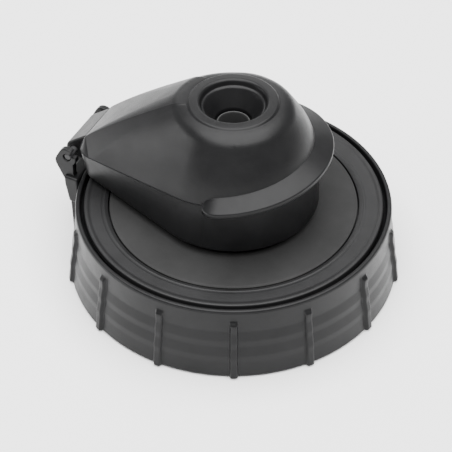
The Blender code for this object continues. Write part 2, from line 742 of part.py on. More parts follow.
def hang_on_hinge(pieces):
    """Parent the cover's pieces to an empty on the hinge's axis."""
    axis = bpy.data.objects.new("hinge_axis", None)
    axis.location = (HINGE_X, 0.0, HINGE_Z)
    bpy.context.collection.objects.link(axis)
    bpy.context.view_layer.update()
    for piece in pieces:
        piece.parent = axis
        piece.matrix_parent_inverse = axis.matrix_world.inverted()


def main():
    clear_scene()
    screw_collar()
    hinge_pin()
    deck_plate()
    deck_pad()
    neck_gasket()
    vent_valve()
    hang_on_hinge([pour_cover(), cover_seal(), outlet_sleeve()])


main()
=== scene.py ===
"""Looks for a wide-mouth screw cap with a hinged pouring cover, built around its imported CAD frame.

Shapes are worked out in millimetres and become metres when their meshes are made.
The hinge is on the -X side and the cover's free end points along +X.
"""
import math

import bmesh
import bpy
from mathutils import Matrix, Vector

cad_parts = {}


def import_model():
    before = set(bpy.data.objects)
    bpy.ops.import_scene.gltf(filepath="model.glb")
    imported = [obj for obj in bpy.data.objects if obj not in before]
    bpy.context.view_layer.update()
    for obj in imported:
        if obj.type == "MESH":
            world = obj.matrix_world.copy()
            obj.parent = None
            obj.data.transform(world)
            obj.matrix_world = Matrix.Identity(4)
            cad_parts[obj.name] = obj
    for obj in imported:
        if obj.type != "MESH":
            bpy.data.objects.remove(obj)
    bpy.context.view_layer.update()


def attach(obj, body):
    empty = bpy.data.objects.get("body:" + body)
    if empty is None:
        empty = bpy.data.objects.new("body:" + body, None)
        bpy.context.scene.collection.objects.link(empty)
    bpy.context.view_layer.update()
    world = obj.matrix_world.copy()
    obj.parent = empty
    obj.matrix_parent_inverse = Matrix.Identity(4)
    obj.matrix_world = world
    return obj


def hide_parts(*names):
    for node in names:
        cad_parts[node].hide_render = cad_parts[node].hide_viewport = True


MM = 0.001
GAP = 0.3                           # clearance between neighbouring pieces
ROUND_SIDES = 224

# Screw collar
COLLAR_RADIUS = 35.0
COLLAR_HEIGHT = 16.2
RIM_RADIUS = 32.9                   # outside of the wall just under the rim
RIM_OPENING = 31.9                  # radius of the opening that shows the deck
RIM_ROUNDING = (0.3, 0.75)          # inner and outer edge of the rim
RETAINING_LIP = 30.7                # radius of the lip that holds the deck's flange down
LIP_UNDERSIDE = 13.3
LIP_TOP = 14.0
BAND_COUNT = 3                      # flared bands below the wall's upright top
BAND_TOP = 11.0
BAND_FLARE = 0.6                    # share of a band's height that is flared
BAND_UPRIGHT = 0.1                  # how far the wall grows over a band's upright part
TOP_FLARE = 0.3                     # how far the wall grows from the rim down to the first band
BAND_EASE = 0.28                    # height over which a band's corner is eased, each way
FOOT_ROUNDING = ((0.0, 0.32), (0.04, 0.16), (0.14, 0.05), (0.3, 0.0))   # (inset, height)
RIB_COUNT = 14
RIB_RISE = 0.7                      # how far a rib stands out of the wall
RIB_TOP = 14.0
RIB_TOP_EASE = 1.1                  # height over which a rib's top fades out
RIB_CREST = 0.52                    # half width of a rib's flat crest
RIB_FOOT = 1.0                      # half width of a rib at the wall
THREAD_ROOT = 31.7
THREAD_DEPTH = 1.0
THREAD_PITCH = 5.0
THREAD_START = 2.6
THREAD_TURNS = 1.25
THREAD_ROOT_HALF = 1.3
THREAD_CREST_HALF = 0.6

# Hinge
HINGE = Vector((-34.75, 0.0, 20.8))
PIN_RADIUS = 0.8
PIN_SIDES = 48
EAR_RADIUS = 2.1
EAR_HEEL = (-35.7, 19.1)            # centre of the lobe's lower half, in (x, z)
EAR_INNER_Y = 7.0
EAR_THICKNESS = 1.4
EAR_BACK_X = -34.9                  # outer edge of the ear's stem, down the wall
EAR_FOOT = 0.4
EAR_STEM_TOP = 12.3
EAR_SLOT = (52, 372)                # arc round the pin, in degrees, between the slot's two sides
EAR_INNER_EDGE = ((-33.4, 18.2), (-33.5, 16.6), (-33.2, 15.6), (-32.6, 14.9), (-32.4, EAR_FOOT))
BOSS_HALF_WIDTH = 9.2               # block that widens the rim under the ears
BOSS_OUTLINE = ((-32.2, 9.2), (-34.8, 9.2), (-35.55, 14.0), (-35.55, 16.05), (-32.2, 16.05))
WEB_HALF_WIDTH = 7.6                # web that joins the ears under the knuckle
WEB_OUTLINE = ((-32.2, 13.0), (-35.2, 13.0), (-36.2, 15.2), (-36.5, 15.9), (-32.2, 15.9))
KNUCKLE_RADIUS = 2.0
KNUCKLE_HALF_WIDTH = 5.2

# Deck, pad and gasket
DECK_RADIUS = 31.1
DECK_NECK_RADIUS = 30.3             # through the collar's retaining lip
DECK_OVERHANG = 14.8                # underside of the overhanging edge
DECK_TOP = 15.9
DECK_UNDERSIDE = 11.8
DECK_FLOOR = 14.4                   # under the pad
DECK_BEAD = 16.15                   # top of the raised outer edge
FLANGE_RADIUS = 31.3
PAD_OUTER = 25.8
PAD_INNER = 15.9
PAD_TOP = 15.7
PAD_THICKNESS = 1.0
SPIGOT_BORE = 8.0
SPIGOT_RADIUS = 10.0
SPIGOT_TOP = 20.7
CATCH_RADIUS = 15.2                 # outside of the low wall that the cover's skirt closes over
CATCH_THICKNESS = 1.0
CATCH_TOP = 19.4
GASKET_INNER = 26.6
GASKET_OUTER = 30.5
GASKET_THICKNESS = 1.5
GUIDE_DEPTH = 2.3                   # wall inside the gasket, hanging under the deck
GUIDE_THICKNESS = 1.5

# Vent valve
VENT_X = -20.0
VENT_STEM_RADIUS = 0.9
VENT_FLAP_RADIUS = 3.2
VENT_SIDES = 64

# Pouring cover
SKIRT_BOTTOM = 17.6
SKIRT_RADIUS = 17.75                # round end, at the skirt's lower edge
SKIRT_CORNER = (-27.1, 4.4, 4.75)   # x, y and radius of the tail's corner, lower edge
CREASE_RADIUS = 16.8                # round end, where the skirt meets the dome
CREASE_CORNER = (-27.1, 3.7, 5.9)
CREASE_HEIGHT = 28.3                # crease's height on the collar's axis
CREASE_SLOPE = 0.155                # rise of the crease towards the free end
CREASE_RIDGE = 0.14                 # how far the edge stands out along the crease
WALL = 1.5
DOME_END = Vector((-31.6, 5.5, 25.6))   # top edge of the dome at the hinge end
DOME_BULGE = 1.7                    # how far the dome stands out of a straight cone
TAIL_BULGE = 1.15                   # the same, over the tail
SHOULDER = 3.2                      # distance from the nozzle's edge over which the bulge grows
SHOULDER_SHARES = (0.06, 0.14, 0.24, 0.36, 0.5, 0.65, 0.82, 1.0)
STRIP_ANGLE = math.radians(173.4)   # where the dome's two ridges meet the nozzle's edge
TAIL_ANGLE = math.radians(150.0)    # point on the nozzle's edge that faces the tail's corner
NOZZLE_RADIUS = 9.13
NOZZLE_TOP = 41.8
MOUTH_RADIUS = 6.7
LIP_RADIUS = 20.2
LIP_THICKNESS = 1.2
LIP_HEIGHT = 28.6                   # height of the lip's outer edge on the collar's axis
LIP_SLOPE = 0.16
LIP_ROOT_HEIGHT = 29.5              # height of the dome's foot on the lip, on the collar's axis
LIP_ROOT_SLOPE = 0.185
LIP_HALF_ANGLE = math.radians(85.0)
LIP_END_ANGLE = math.radians(11.5)  # arc over which the lip rounds off at each end
LIP_END_SHARES = (1.0, 0.85, 0.7, 0.57, 0.45, 0.35, 0.26, 0.18, 0.12, 0.07, 0.03, 0.01, 0.0)
ARC_STEPS = 44                      # along the lip, up to where it rounds off
BEYOND_STEPS = 8                    # from the lip's end to the straight side
SIDE_STEPS = 14
CORNER_STEPS = 18
END_STEPS = 4
DOME_STEPS = 16

# Outlet and seal
OUTLET_SEAT = 3.75                  # bore that holds the sleeve
SLEEVE_BORE = 3.0
SLEEVE_TOP = 36.6
SLEEVE_FLANGE = 4.7
SLEEVE_FLANGE_TOP = 34.2
SLEEVE_FLANGE_THICKNESS = 1.3
SEAL_HEIGHT = 1.5
SEAL_INNER = SPIGOT_BORE + GAP
SEAL_OUTER = SPIGOT_RADIUS + WALL - GAP
SEAL_LOW = SPIGOT_TOP + GAP
SEAL_SEAT = SEAL_LOW + SEAL_HEIGHT + GAP
SMALL_SIDES = 128

# Camera and stage, in metres and degrees
CAMERA_PLACE = Vector((0.0937263, -0.1957602, 0.210665))
CAMERA_HEADING = 116.0
CAMERA_TILT = -43.02
CAMERA_ROLL = -0.3
CAMERA_LENS = 111.504               # mm, on a 36 mm wide sensor
WORLD_STRENGTH = 0.55
FLOOR_HALF = 3.0
FLOOR_DROP = 0.0003                 # keeps the floor just clear of the collar's foot


# ---------------------------------------------------------------- materials

def plastic(name, dark, light, roughness, grain, grain_scale, specular):
    """Moulded plastic: mottled colour, uneven gloss and a fine grain on the surface."""
    made = bpy.data.materials.new(name)
    made.use_nodes = True
    nodes = made.node_tree.nodes
    links = made.node_tree.links
    shader = nodes["Principled BSDF"]
    place = nodes.new("ShaderNodeTexCoord")

    def noise(scale, detail, rough=0.6):
        node = nodes.new("ShaderNodeTexNoise")
        node.inputs["Scale"].default_value = scale
        node.inputs["Detail"].default_value = detail
        node.inputs["Roughness"].default_value = rough
        links.new(place.outputs["Object"], node.inputs["Vector"])
        return node

    cloud = noise(90.0, 4.0)
    tint = nodes.new("ShaderNodeValToRGB")
    tint.color_ramp.elements[0].position = 0.35
    tint.color_ramp.elements[0].color = dark + (1.0,)
    tint.color_ramp.elements[1].position = 0.7
    tint.color_ramp.elements[1].color = light + (1.0,)
    links.new(cloud.outputs["Fac"], tint.inputs["Fac"])
    links.new(tint.outputs["Color"], shader.inputs["Base Color"])

    handling = noise(260.0, 6.0, 0.7)
    gloss = nodes.new("ShaderNodeMapRange")
    gloss.inputs["From Min"].default_value = 0.3
    gloss.inputs["From Max"].default_value = 0.7
    gloss.inputs["To Min"].default_value = roughness - 0.05
    gloss.inputs["To Max"].default_value = roughness + 0.06
    links.new(handling.outputs["Fac"], gloss.inputs["Value"])
    links.new(gloss.outputs["Result"], shader.inputs["Roughness"])

    fine = noise(grain_scale, 3.0)
    bump = nodes.new("ShaderNodeBump")
    bump.inputs["Strength"].default_value = grain
    bump.inputs["Distance"].default_value = 0.00003
    links.new(fine.outputs["Fac"], bump.inputs["Height"])
    links.new(bump.outputs["Normal"], shader.inputs["Normal"])
    shader.inputs["Specular IOR Level"].default_value = specular
    return made


def floor_material():
    """A pale matt sheet with a barely visible mottle."""
    made = bpy.data.materials.new("pale_floor")
    made.use_nodes = True
    nodes = made.node_tree.nodes
    links = made.node_tree.links
    shader = nodes["Principled BSDF"]
    cloud = nodes.new("ShaderNodeTexNoise")
    cloud.inputs["Scale"].default_value = 6.0
    tint = nodes.new("ShaderNodeValToRGB")
    tint.color_ramp.elements[0].color = (0.93, 0.93, 0.93, 1.0)
    tint.color_ramp.elements[1].color = (0.95, 0.95, 0.95, 1.0)
    links.new(cloud.outputs["Fac"], tint.inputs["Fac"])
    links.new(tint.outputs["Color"], shader.inputs["Base Color"])
    shader.inputs["Roughness"].default_value = 0.8
    return made


# ---------------------------------------------------------------- mesh building

def closed_surface(name, columns, material, ring=True):
    """Join columns of points into one closed surface; points that coincide are shared.

    Each column is a closed loop of points. With ring=True the last column joins the first.
    """
    points = []
    index_of = {}

    def index(point):
        key = tuple(round(value * 1e4) for value in point)
        if key not in index_of:
            index_of[key] = len(points)
            points.append([value * MM for value in point])
        return index_of[key]

    faces = []
    spans = len(columns) if ring else len(columns) - 1
    for column in range(spans):
        here = columns[column]
        there = columns[(column + 1) % len(columns)]
        for row in range(len(here)):
            below = (row + 1) % len(here)
            corners = [index(here[row]), index(here[below]), index(there[below]), index(there[row])]
            face = [corner for place, corner in enumerate(corners) if corner != corners[place - 1]]
            if len(set(face)) == len(face) and len(face) > 2:
                faces.append(face)
    if not ring:
        for cap in (columns[0], columns[-1][::-1]):
            faces.append(list(dict.fromkeys(index(point) for point in cap)))
    mesh = bpy.data.meshes.new(name)
    mesh.from_pydata(points, [], faces)
    return link(name, mesh, material)


def link(name, mesh, material):
    """Put a mesh in the scene, smooth-shaded, with its normals outwards."""
    shape = bmesh.new()
    shape.from_mesh(mesh)
    bmesh.ops.recalc_face_normals(shape, faces=shape.faces)
    shape.to_mesh(mesh)
    shape.free()
    mesh.materials.append(material)
    mesh.shade_smooth()
    item = bpy.data.objects.new(name, mesh)
    bpy.context.collection.objects.link(item)
    return item


def even_shading(item, angle=40.0):
    """Keep broad faces flat-looking beside their rounded edges."""
    item.data.set_sharp_from_angle(angle=math.radians(angle))
    step = item.modifiers.new("even_shading", "WEIGHTED_NORMAL")
    step.keep_sharp = True
    step.weight = 60
    return item


def fillet(points, radii, steps=4):
    """Round the corners of a closed run of points; every corner gives steps + 1 points."""
    out = []
    for place, corner in enumerate(points):
        before = points[place - 1] - corner
        after = points[(place + 1) % len(points)] - corner
        first = corner + before.normalized() * min(radii[place], before.length * 0.45)
        last = corner + after.normalized() * min(radii[place], after.length * 0.45)
        for step in range(steps + 1):
            t = step / steps
            out.append(first * (1 - t) ** 2 + corner * (2 * t * (1 - t)) + last * t ** 2)
    return out


def turned(name, profile, material, sides=ROUND_SIDES, centre=(0.0, 0.0)):
    """Revolve a closed profile of (radius, height, rounding) about a vertical axis."""
    flat = fillet([Vector((r, 0.0, z)) for r, z, _ in profile], [rounding for _, _, rounding in profile])
    columns = []
    for side in range(sides):
        angle = 2 * math.pi * side / sides
        turn_x = math.cos(angle)
        turn_y = math.sin(angle)
        columns.append([(p.x * turn_x + centre[0], p.x * turn_y + centre[1], p.z) for p in flat])
    return even_shading(closed_surface(name, columns, material))


def polar(radius, angle, height):
    return Vector((radius * math.cos(angle), radius * math.sin(angle), height))


def arc(centre, radius, first, last, steps):
    """Points on an arc, its ends given in degrees."""
    points = []
    for step in range(steps + 1):
        angle = math.radians(first + (last - first) * step / steps)
        points.append((centre[0] + radius * math.cos(angle), centre[1] + radius * math.sin(angle)))
    return points


def slab(name, outline, y_low, y_high, material, edge=0.22):
    """An (x, z) outline made solid between two Y positions, with rounded edges."""
    mesh = bpy.data.meshes.new(name)
    shape = bmesh.new()
    face = shape.faces.new([shape.verts.new((x * MM, y_low * MM, z * MM)) for x, z in outline])
    grown = bmesh.ops.extrude_face_region(shape, geom=[face])["geom"]
    moved = [item for item in grown if isinstance(item, bmesh.types.BMVert)]
    bmesh.ops.translate(shape, verts=moved, vec=(0.0, (y_high - y_low) * MM, 0.0))
    shape.to_mesh(mesh)
    shape.free()
    item = link(name, mesh, material)
    step = item.modifiers.new("edges", "BEVEL")
    step.width = edge * MM
    step.segments = 4
    step.limit_method = "ANGLE"
    step.angle_limit = math.radians(35.0)
    return even_shading(item)


def smooth(value, low, high):
    """Ease from 0 at low to 1 at high."""
    share = min(1.0, max(0.0, (value - low) / (high - low)))
    return share * share * (3 - 2 * share)


# ---------------------------------------------------------------- collar

def wall_points():
    """The wall's outside from the rim down, as (radius, height), with a corner at each band's ends."""
    pitch = BAND_TOP / BAND_COUNT
    growth = (COLLAR_RADIUS - RIM_RADIUS - TOP_FLARE - (BAND_COUNT - 1) * BAND_UPRIGHT) / BAND_COUNT
    radius = RIM_RADIUS + TOP_FLARE
    points = [(RIM_RADIUS, COLLAR_HEIGHT), (radius, BAND_TOP)]
    for band in range(BAND_COUNT - 1):
        top = BAND_TOP - band * pitch
        radius += growth
        points.append((radius, top - pitch * BAND_FLARE))
        radius += BAND_UPRIGHT
        points.append((radius, top - pitch))
    points.append((COLLAR_RADIUS, 0.0))
    return [(round(radius, 2), round(height, 2)) for radius, height in points]


def wall_radius(wall, height):
    for (upper_radius, upper), (lower_radius, lower) in zip(wall, wall[1:]):
        if height >= lower:
            return upper_radius + (lower_radius - upper_radius) * (upper - height) / (upper - lower)
    return COLLAR_RADIUS


def soft_wall(wall, height):
    """The wall's radius with its band corners eased."""
    above = wall_radius(wall, height + BAND_EASE)
    below = wall_radius(wall, height - BAND_EASE)
    return (below + 2 * wall_radius(wall, height) + above) / 4


def rib_angles():
    """Angles round the collar, finely spaced over each rib."""
    pitch = 2 * math.pi / RIB_COUNT
    half = (0.3, 0.5, 0.6, 0.7, 0.8, 0.9, 1.0, 1.12, 1.3)
    across = [-offset for offset in reversed(half)] + [0.0] + list(half)
    between = 14
    angles = []
    for number in range(RIB_COUNT):
        middle = (number + 0.5) * pitch
        angles += [middle + offset / COLLAR_RADIUS for offset in across]
        start = middle + across[-1] / COLLAR_RADIUS
        finish = middle + pitch + across[0] / COLLAR_RADIUS
        angles += [start + (finish - start) * step / between for step in range(1, between)]
    return angles


def rib_rise(angle, height):
    """How far the rib nearest to this angle stands out of the wall here."""
    pitch = 2 * math.pi / RIB_COUNT
    share = abs((angle / pitch - 0.5) % 1.0)
    offset = min(share, 1.0 - share) * pitch * COLLAR_RADIUS
    across = 1.0 - smooth(offset, RIB_CREST, RIB_FOOT)
    along = 1.0 - smooth(height, RIB_TOP - RIB_TOP_EASE, RIB_TOP)
    return RIB_RISE * across * along


def collar_heights(wall):
    """Heights of the rows down the wall's outside, finer at its bands and at the ribs' tops."""
    heights = [COLLAR_HEIGHT - 0.55 - 0.35 * step for step in range(3)]
    heights += [RIB_TOP + 0.05 - 0.15 * step for step in range(9)]
    for _, corner in wall[1:-1]:
        heights += [corner + BAND_EASE * share for share in (1.0, 0.5, 0.0, -0.5, -1.0)]
    heights += [12.0, 9.8, 8.0, 6.2, 4.4, 2.8, 1.9, 1.0, 0.55]
    return sorted({round(height, 3) for height in heights}, reverse=True)


def collar_inside():
    """Inside of the collar from its lower edge up past the retaining lip, as (radius, height)."""
    return [
        (THREAD_ROOT + 0.35, 0.0),
        (THREAD_ROOT + 0.1, 0.1),
        (THREAD_ROOT, 0.4),
        (THREAD_ROOT, LIP_UNDERSIDE - 0.4),
        (THREAD_ROOT - 0.1, LIP_UNDERSIDE - 0.1),
        (THREAD_ROOT - 0.4, LIP_UNDERSIDE),
        (RETAINING_LIP + 0.25, LIP_UNDERSIDE),
        (RETAINING_LIP + 0.05, LIP_UNDERSIDE + 0.08),
        (RETAINING_LIP, LIP_UNDERSIDE + 0.25),
        (RETAINING_LIP, LIP_TOP - 0.2),
        (RETAINING_LIP + 0.1, LIP_TOP - 0.02),
        (RIM_OPENING - 0.4, LIP_TOP + 0.2),
        (RIM_OPENING - 0.1, LIP_TOP + 0.35),
        (RIM_OPENING, LIP_TOP + 0.6),
    ]


def collar_rim():
    """The rim's two rounded edges, as (radius, height)."""
    steps = 7
    block = [
        Vector((RIM_OPENING, 0.0, COLLAR_HEIGHT)),
        Vector((RIM_RADIUS, 0.0, COLLAR_HEIGHT)),
        Vector((RIM_RADIUS + 0.05, 0.0, LIP_TOP)),
        Vector((RIM_OPENING, 0.0, LIP_TOP)),
    ]
    rounded = fillet(block, RIM_ROUNDING + (0.0, 0.0), steps)
    return [(point.x, point.z) for point in rounded[:len(RIM_ROUNDING) * (steps + 1)]]


def collar_shell(material):
    wall = wall_points()
    plain = collar_inside() + collar_rim()
    ribbed = [(soft_wall(wall, height), height, height) for height in collar_heights(wall)]
    ribbed += [(COLLAR_RADIUS - 0.03 - inset, height, 0.0) for inset, height in FOOT_ROUNDING]
    columns = []
    for angle in rib_angles():
        column = [polar(radius, angle, height) for radius, height in plain]
        for radius, height, rib_height in ribbed:
            column.append(polar(radius + rib_rise(angle, rib_height), angle, height))
        columns.append([tuple(point) for point in column])
    return even_shading(closed_surface("collar_shell", columns, material), 60.0)


def thread_ridge(material):
    """Inner thread, fading out at both ends."""
    columns = []
    steps = 150
    fade = 12
    buried = THREAD_ROOT + 0.1
    for step in range(steps + 1):
        turns = THREAD_TURNS * step / steps
        angle = 2 * math.pi * turns
        height = THREAD_START + THREAD_PITCH * turns
        crest = THREAD_ROOT - THREAD_DEPTH * min(1.0, 0.05 + 0.95 * min(step, steps - step) / fade)
        section = [
            Vector((buried, 0.0, height - THREAD_ROOT_HALF)),
            Vector((crest, 0.0, height - THREAD_CREST_HALF)),
            Vector((crest, 0.0, height + THREAD_CREST_HALF)),
            Vector((buried, 0.0, height + THREAD_ROOT_HALF)),
        ]
        column = fillet(section, (0.0, 0.25, 0.25, 0.0), 3)
        columns.append([(p.x * math.cos(angle), p.x * math.sin(angle), p.z) for p in column])
    return even_shading(closed_surface("thread_ridge", columns, material, ring=False))


def ear_outline():
    """Side view of an ear: a lobe round the pin with a narrow slot towards the cover, on a stem."""
    pin = (HINGE.x, HINGE.z)
    slot_start, slot_end = EAR_SLOT
    outline = [(EAR_BACK_X, EAR_FOOT), (EAR_BACK_X, EAR_STEM_TOP)]
    outline += arc(EAR_HEEL, EAR_RADIUS, 205, 150, 6)
    outline += arc(pin, EAR_RADIUS, 150, slot_start, 12)
    outline += arc(pin, PIN_RADIUS + 0.1, slot_start, slot_end, 24)
    outline += arc(pin, EAR_RADIUS, slot_end - 360, -50, 10)
    return outline + list(EAR_INNER_EDGE)


def collar_ears(material):
    """Two ears, the block under them and the web between them."""
    made = []
    for side, word in ((-1, "near"), (1, "far")):
        low, high = sorted((side * EAR_INNER_Y, side * (EAR_INNER_Y + EAR_THICKNESS)))
        made.append(slab(f"ear_{word}", ear_outline(), low, high, material))
    made.append(slab("hinge_block", BOSS_OUTLINE, -BOSS_HALF_WIDTH, BOSS_HALF_WIDTH, material, edge=0.5))
    made.append(slab("ear_web", WEB_OUTLINE, -WEB_HALF_WIDTH, WEB_HALF_WIDTH, material, edge=0.3))
    return made


def hinge_pin(material):
    reach = EAR_INNER_Y + EAR_THICKNESS - 0.2
    outline = [
        Vector((0.0, 0.0, -reach)),
        Vector((PIN_RADIUS, 0.0, -reach)),
        Vector((PIN_RADIUS, 0.0, reach)),
        Vector((0.0, 0.0, reach)),
    ]
    edge = fillet(outline, (0.0, 0.25, 0.25, 0.0))
    columns = []
    for side in range(PIN_SIDES):
        angle = 2 * math.pi * side / PIN_SIDES
        cos = math.cos(angle)
        sin = math.sin(angle)
        columns.append([(HINGE.x + p.x * cos, p.z, HINGE.z + p.x * sin) for p in edge])
    return even_shading(closed_surface("pin_rod", columns, material))


# ---------------------------------------------------------------- deck, pad, gasket and valve

def deck_disc(material):
    flange_low = DECK_UNDERSIDE - 1.0
    neck_top = LIP_UNDERSIDE - GAP
    profile = [
        (SPIGOT_BORE, DECK_UNDERSIDE, 0.2),
        (SPIGOT_BORE, SPIGOT_TOP, 0.25),
        (SPIGOT_RADIUS, SPIGOT_TOP, 0.25),
        (SPIGOT_RADIUS, DECK_FLOOR, 0.2),
        (CATCH_RADIUS - CATCH_THICKNESS, DECK_FLOOR, 0.2),
        (CATCH_RADIUS - CATCH_THICKNESS, CATCH_TOP, 0.2),
        (CATCH_RADIUS - 0.2, CATCH_TOP, 0.15),
        (CATCH_RADIUS + 0.25, CATCH_TOP - 0.7, 0.2),
        (CATCH_RADIUS, CATCH_TOP - 1.2, 0.2),
        (CATCH_RADIUS, DECK_FLOOR, 0.2),
        (PAD_OUTER + GAP, DECK_FLOOR, 0.1),
        (PAD_OUTER + GAP, PAD_TOP - 0.08, 0.12),
        (PAD_OUTER + 1.05, DECK_TOP + 0.02, 0.2),
        (PAD_OUTER + 1.25, DECK_TOP - 0.06, 0.1),
        (PAD_OUTER + 1.6, DECK_TOP - 0.06, 0.1),
        (PAD_OUTER + 1.8, DECK_TOP, 0.1),
        (DECK_RADIUS - 1.2, DECK_TOP, 0.3),
        (DECK_RADIUS - 0.75, DECK_BEAD, 0.25),
        (DECK_RADIUS, DECK_BEAD, 0.35),
        (DECK_RADIUS, DECK_OVERHANG, 0.1),
        (DECK_NECK_RADIUS, DECK_OVERHANG, 0.1),
        (DECK_NECK_RADIUS, neck_top, 0.1),
        (FLANGE_RADIUS, neck_top, 0.2),
        (FLANGE_RADIUS, flange_low, 0.2),
        (GASKET_OUTER + GAP, flange_low, 0.1),
        (GASKET_OUTER + GAP, DECK_UNDERSIDE, 0.1),
        (GASKET_INNER - GAP, DECK_UNDERSIDE, 0.1),
        (GASKET_INNER - GAP, DECK_UNDERSIDE - GUIDE_DEPTH, 0.2),
        (GASKET_INNER - GAP - GUIDE_THICKNESS, DECK_UNDERSIDE - GUIDE_DEPTH, 0.2),
        (GASKET_INNER - GAP - GUIDE_THICKNESS, DECK_UNDERSIDE, 0.3),
    ]
    return turned("deck_disc", profile, material)


def pad_ring(material):
    """The pad, with a fine step just inside its outer edge."""
    low = PAD_TOP - PAD_THICKNESS
    step = 0.08
    profile = [
        (PAD_INNER, low, 0.1),
        (PAD_INNER, PAD_TOP, 0.15),
        (PAD_OUTER - 0.55, PAD_TOP, step),
        (PAD_OUTER - 0.3, PAD_TOP - step, step),
        (PAD_OUTER, PAD_TOP - step, 0.12),
        (PAD_OUTER, low, 0.1),
    ]
    return turned("pad_ring", profile, material)


def grooved_ring(name, radii, heights, corner, groove, material, sides):
    """A sealing ring with a shallow groove round its lower face.

    The groove is given as the radius of its middle, its half width, its depth and its rounding.
    """
    inner, outer = radii
    low, high = heights
    middle, half, depth, rounding = groove
    profile = [
        (inner, low, corner),
        (inner, high, 0.2),
        (outer, high, 0.2),
        (outer, low, corner),
        (middle + half, low, rounding),
        (middle, low + depth, rounding),
        (middle - half, low, rounding),
    ]
    return turned(name, profile, material, sides)


def gasket_ring(material):
    high = DECK_UNDERSIDE - GAP
    radii = (GASKET_INNER, GASKET_OUTER)
    heights = (high - GASKET_THICKNESS, high)
    groove = (sum(radii) / 2, 0.35, 0.25, 0.2)
    return grooved_ring("gasket_ring", radii, heights, 0.3, groove, material, ROUND_SIDES)


def valve_body(material):
    """Umbrella valve: a thin flap under the deck, a stem through it and a bulb that holds it."""
    flap_top = DECK_UNDERSIDE - GAP
    bulb = DECK_FLOOR + GAP
    profile = [
        (0.0, flap_top - 0.8, 0.0),
        (VENT_FLAP_RADIUS, flap_top - 0.4, 0.2),
        (VENT_FLAP_RADIUS, flap_top, 0.15),
        (VENT_STEM_RADIUS, flap_top, 0.15),
        (VENT_STEM_RADIUS, bulb, 0.1),
        (VENT_STEM_RADIUS + 0.6, bulb, 0.15),
        (VENT_STEM_RADIUS + 0.5, bulb + 0.6, 0.2),
        (VENT_STEM_RADIUS - 0.2, bulb + 1.3, 0.2),
        (0.0, bulb + 1.4, 0.0),
    ]
    return turned("valve_body", profile, material, VENT_SIDES, centre=(VENT_X, 0.0))


# ---------------------------------------------------------------- cover

def crease_height(x):
    return CREASE_HEIGHT + CREASE_SLOPE * x


def lip_reach(part, angle):
    """How far the thumb lip stands out of the crease at this angle, from 0 to 1."""
    if part != "arc" or angle > LIP_HALF_ANGLE + 1e-6:
        return 0.0
    share = min(1.0, 0.02 + (LIP_HALF_ANGLE - angle) / LIP_END_ANGLE)
    return math.sqrt(1 - (1 - share) ** 2)


def arc_angles(tangent):
    """Angles along the round end, closer together where the lip rounds off."""
    fine = [LIP_HALF_ANGLE - LIP_END_ANGLE * share for share in LIP_END_SHARES]
    coarse = [(LIP_HALF_ANGLE - LIP_END_ANGLE) * step / ARC_STEPS for step in range(ARC_STEPS)]
    start = LIP_HALF_ANGLE + math.radians(0.25)
    beyond = [start + (tangent - start) * step / BEYOND_STEPS for step in range(BEYOND_STEPS + 1)]
    return coarse + fine + beyond


def outline_columns(big_radius, corner):
    """One side of a teardrop outline, from the free end at +X round to the middle of the hinge end.

    Each entry is (part, x, y, normal angle, bearing): the outline's round end, its straight side, its
    rounded corner and its straight end. The bearing is that of the point on the nozzle it is joined to.
    """
    corner_x, corner_y, corner_radius = corner
    reach = math.hypot(corner_x, corner_y)
    tangent = math.atan2(corner_y, corner_x) - math.acos((big_radius - corner_radius) / reach)
    entries = []
    for angle in arc_angles(tangent):
        entries.append(("arc", big_radius * math.cos(angle), big_radius * math.sin(angle), angle, angle))
    normal = Vector((math.cos(tangent), math.sin(tangent)))
    start = big_radius * normal
    finish = Vector((corner_x, corner_y)) + corner_radius * normal
    for step in range(1, SIDE_STEPS + 1):
        place = start.lerp(finish, step / SIDE_STEPS)
        bearing = tangent + (TAIL_ANGLE - tangent) * step / SIDE_STEPS
        entries.append(("side", place.x, place.y, tangent, bearing))
    for step in range(CORNER_STEPS + 1):
        angle = tangent + (math.pi - tangent) * step / CORNER_STEPS
        x = corner_x + corner_radius * math.cos(angle)
        y = corner_y + corner_radius * math.sin(angle)
        bearing = TAIL_ANGLE + (STRIP_ANGLE - TAIL_ANGLE) * step / CORNER_STEPS
        entries.append(("corner", x, y, angle, bearing))
    for step in range(1, END_STEPS + 1):
        share = step / END_STEPS
        bearing = STRIP_ANGLE + (math.pi - STRIP_ANGLE) * share
        entries.append(("end", corner_x - corner_radius, corner_y * (1 - share), math.pi, bearing))
    return entries


def inside(corner):
    """The corner one wall thickness further in."""
    return (corner[0], corner[1], corner[2] - WALL)


def nozzle_profile():
    """From the seal's seat up to the nozzle's edge, as (radius, height, rounding)."""
    return [
        (SEAL_INNER, SEAL_SEAT, 0.2),
        (SLEEVE_FLANGE + GAP, SLEEVE_FLANGE_TOP - SLEEVE_FLANGE_THICKNESS - GAP, 0.2),
        (SLEEVE_FLANGE + GAP, SLEEVE_FLANGE_TOP + GAP, 0.15),
        (OUTLET_SEAT, SLEEVE_FLANGE_TOP + GAP, 0.15),
        (OUTLET_SEAT, SLEEVE_TOP + GAP, 0.2),
        (MOUTH_RADIUS - 0.8, NOZZLE_TOP - 1.35, 0.3),
        (MOUTH_RADIUS - 0.35, NOZZLE_TOP - 1.2, 0.15),
        (MOUTH_RADIUS - 0.05, NOZZLE_TOP - 0.3, 0.3),
        (MOUTH_RADIUS + 0.4, NOZZLE_TOP, 0.3),
        (NOZZLE_RADIUS - 0.35, NOZZLE_TOP - 0.15, 0.2),
        (NOZZLE_RADIUS, NOZZLE_TOP - 0.5, 0.12),
    ]


